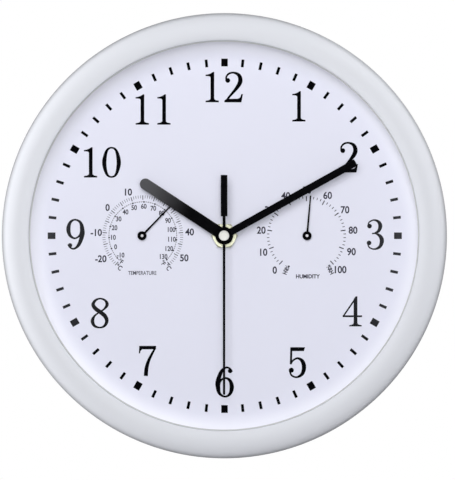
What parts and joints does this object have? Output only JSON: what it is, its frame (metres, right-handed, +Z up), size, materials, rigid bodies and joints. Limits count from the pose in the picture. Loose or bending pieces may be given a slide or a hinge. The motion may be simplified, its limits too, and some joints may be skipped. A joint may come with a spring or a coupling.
{
  "type": "wall clock with thermometer and hygrometer",
  "caption": "Round quartz wall clock with a thermometer and a hygrometer on its dial, silver bezel, clear lens, three hands and a keyhole hanger.",
  "frame": {"origin": "centre of the clock's axis on the wall plane", "axes": "+Y into the wall along the clock's axis, +Z up towards the numeral twelve, +X to the right as the viewer sees the dial"},
  "size_m": [0.25, 0.04, 0.25],
  "materials": {
    "silver_shell": "satin silver",
    "seal_rubber": "matte",
    "clear_lens": "clear",
    "dial_white": "matte print",
    "white_moulding": "moulded",
    "zinc_screws": "zinc plated",
    "black_moulding": "moulded",
    "brass": "bright",
    "board": "resin board",
    "steel": "bright",
    "battery_sleeve": "sleeve",
    "copper": "enamelled wire",
    "gear_resin": "moulded",
    "hand_black": "black lacquer",
    "cap_silver": "pale silver",
    "spindle_white": "moulded",
    "bimetal": "strip"
  },
  "bodies": {
    "case": {"front_bezel": "silver_shell", "lens_seal": "seal_rubber", "lens_glass": "clear_lens", "dial_spacer_ring": "white_moulding", "dial_plate": "dial_white", "back_case": "white_moulding", "case_screws": "zinc_screws", "movement_front_case": "black_moulding", "movement_rear_cover": "black_moulding", "middle_plate": "black_moulding", "threaded_bush": "brass", "rubber_washer": "seal_rubber", "dial_washer": "brass", "shaft_nut": "brass", "circuit_board": "board", "quartz_crystal": "steel", "battery_cell": "battery_sleeve", "battery_contact_positive": "steel", "battery_contact_negative": "steel", "motor_stator": "steel", "coil_core": "steel", "motor_coil": "copper", "thermometer_frame": "white_moulding", "thermometer_coil": "bimetal", "hygrometer_frame": "white_moulding", "hygrometer_coil": "bimetal"},
    "minute_arbor": {"minute_pipe": "steel", "centre_wheel": "gear_resin", "minute_hand": "hand_black"},
    "hour_arbor": {"hour_wheel": "gear_resin", "hour_hand": "hand_black"},
    "second_arbor": {"second_wheel": "gear_resin", "second_hand": "hand_black", "second_hand_cap": "cap_silver"},
    "third_arbor": {"third_wheel": "gear_resin"},
    "fifth_arbor": {"fifth_wheel": "gear_resin"},
    "rotor_arbor": {"rotor": "gear_resin"},
    "motion_arbor": {"motion_wheel": "gear_resin"},
    "knob_arbor": {"setting_knob": "black_moulding"},
    "thermometer_needle": {"thermometer_spindle": "spindle_white", "thermometer_pointer": "hand_black"},
    "hygrometer_needle": {"hygrometer_spindle": "spindle_white", "hygrometer_pointer": "hand_black"}
  },
  "joints": [
    {"name": "minute_turn", "type": "hinge", "parent": "case", "child": "minute_arbor", "pos_m": [0, -0.02, 0], "axis": [0, 1, 0], "continuous": true},
    {"name": "hour_turn", "type": "hinge", "parent": "case", "child": "hour_arbor", "pos_m": [0, -0.02, 0], "axis": [0, 1, 0], "continuous": true},
    {"name": "second_turn", "type": "hinge", "parent": "case", "child": "second_arbor", "pos_m": [0, -0.02, 0], "axis": [0, 1, 0], "continuous": true},
    {"name": "third_turn", "type": "hinge", "parent": "case", "child": "third_arbor", "pos_m": [0, -0.011, 0.01188], "axis": [0, 1, 0], "continuous": true},
    {"name": "fifth_turn", "type": "hinge", "parent": "case", "child": "fifth_arbor", "pos_m": [0.00902, -0.008, -0.00328], "axis": [0, 1, 0], "continuous": true},
    {"name": "rotor_turn", "type": "hinge", "parent": "case", "child": "rotor_arbor", "pos_m": [0.01523, -0.008, -0.00219], "axis": [0, 1, 0], "continuous": true},
    {"name": "motion_turn", "type": "hinge", "parent": "case", "child": "motion_arbor", "pos_m": [-0.00846, -0.016, -0.00308], "axis": [0, 1, 0], "continuous": true},
    {"name": "knob_turn", "type": "hinge", "parent": "case", "child": "knob_arbor", "pos_m": [-0.01732, -0.01, -0.00152], "axis": [0, 1, 0], "continuous": true},
    {"name": "thermometer_turn", "type": "hinge", "parent": "case", "child": "thermometer_needle", "pos_m": [-0.0465, -0.02, 0], "axis": [0, 1, 0], "range_deg": [-180.8, 93.2]},
    {"name": "hygrometer_turn", "type": "hinge", "parent": "case", "child": "hygrometer_needle", "pos_m": [0.0465, -0.02, 0], "axis": [0, 1, 0], "range_deg": [-141.6, 131.4]}
  ],
  "couplings": [
    {"joint": "hour_turn", "follows": "minute_turn", "ratio": 0.083333},
    {"joint": "motion_turn", "follows": "minute_turn", "ratio": -0.33333},
    {"joint": "knob_turn", "follows": "minute_turn", "ratio": 1},
    {"joint": "third_turn", "follows": "minute_turn", "ratio": -8},
    {"joint": "second_turn", "follows": "minute_turn", "ratio": 60},
    {"joint": "fifth_turn", "follows": "minute_turn", "ratio": -300},
    {"joint": "rotor_turn", "follows": "minute_turn", "ratio": 1800}
  ]
}
